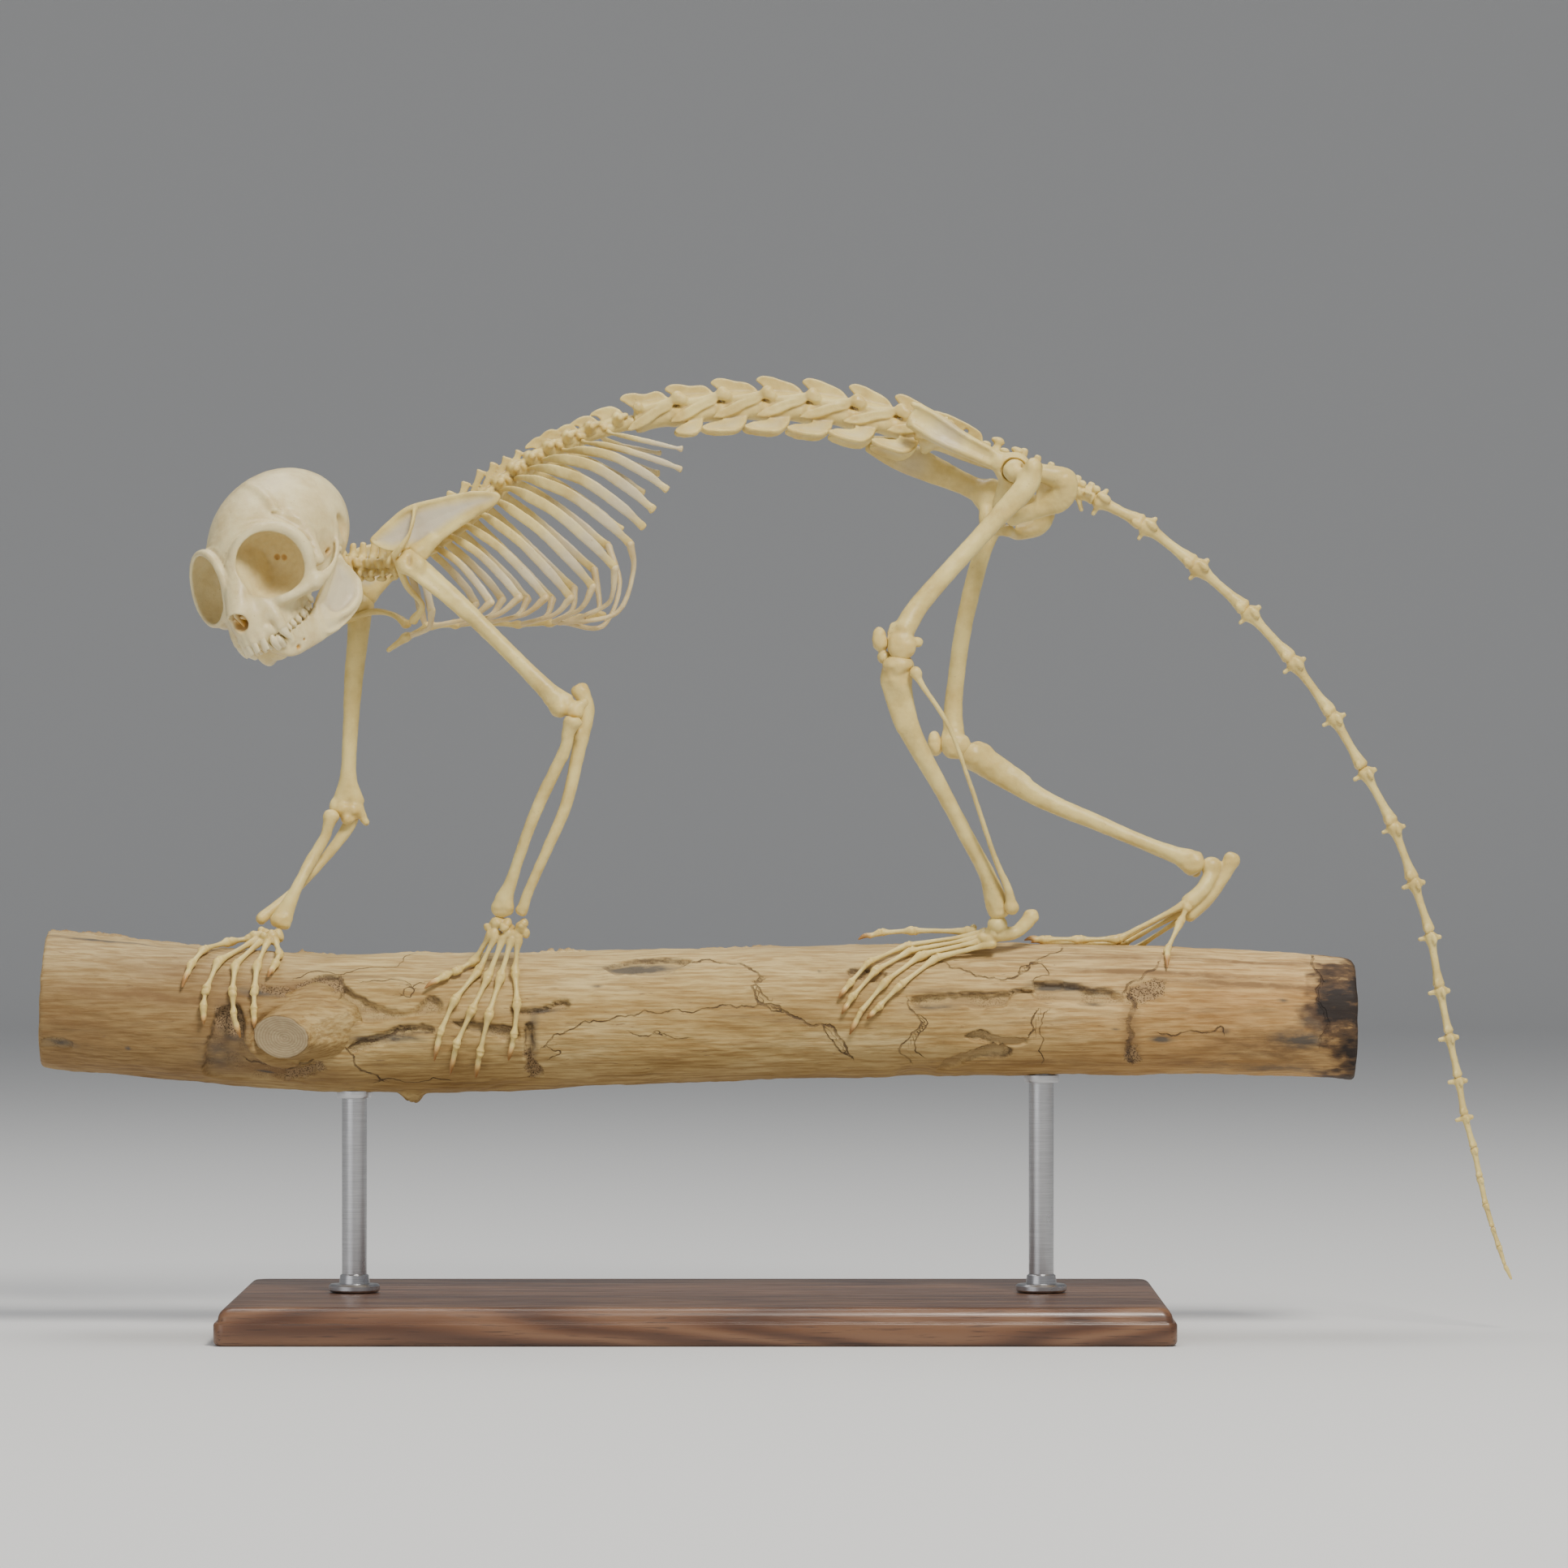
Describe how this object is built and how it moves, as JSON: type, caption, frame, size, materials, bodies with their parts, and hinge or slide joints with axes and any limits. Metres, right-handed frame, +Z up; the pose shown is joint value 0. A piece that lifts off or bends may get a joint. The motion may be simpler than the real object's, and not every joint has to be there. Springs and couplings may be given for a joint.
{
  "type": "night monkey skeleton on a log",
  "caption": "Life-size mounted skeleton of a night monkey walking down a log, tail hanging, held above a flat base on two rods.",
  "frame": {"origin": "centre of the flat base's underside", "axes": "+X along the log from the skull to the tail, +Y to the animal's right, away from the picture's camera, +Z up"},
  "size_m": [0.4731, 0.15, 0.3059],
  "materials": {
    "bone": "cream-white dry bone, satin",
    "log_wood": "weathered barkless wood, matt",
    "base_wood": "dark stained, satin",
    "steel": "brushed"
  },
  "bodies": {
    "root": {"cranium": "bone", "mandible": "bone", "cervical_spine": "bone", "rib_cage_left": "bone", "rib_cage_right": "bone", "sternum": "bone", "scapula_left": "bone", "scapula_right": "bone", "clavicle_left": "bone", "clavicle_right": "bone", "humerus_left": "bone", "humerus_right": "bone", "radius_left": "bone", "radius_right": "bone", "ulna_left": "bone", "ulna_right": "bone", "hand_left": "bone", "hand_right": "bone", "lumbar_spine": "bone", "sacrum": "bone", "hip_left": "bone", "hip_right": "bone", "femur_left": "bone", "femur_right": "bone", "patella_left": "bone", "patella_right": "bone", "tibia_left": "bone", "tibia_right": "bone", "fibula_left": "bone", "fibula_right": "bone", "foot_left": "bone", "foot_right": "bone", "tail_1": "bone", "tail_2": "bone", "tail_3": "bone", "tail_4": "bone", "tail_5": "bone", "tail_6": "bone", "tail_7": "bone", "log": "log_wood", "stand_base": "base_wood", "stand_rod_front": "steel", "stand_rod_rear": "steel"}
  },
  "joints": []
}
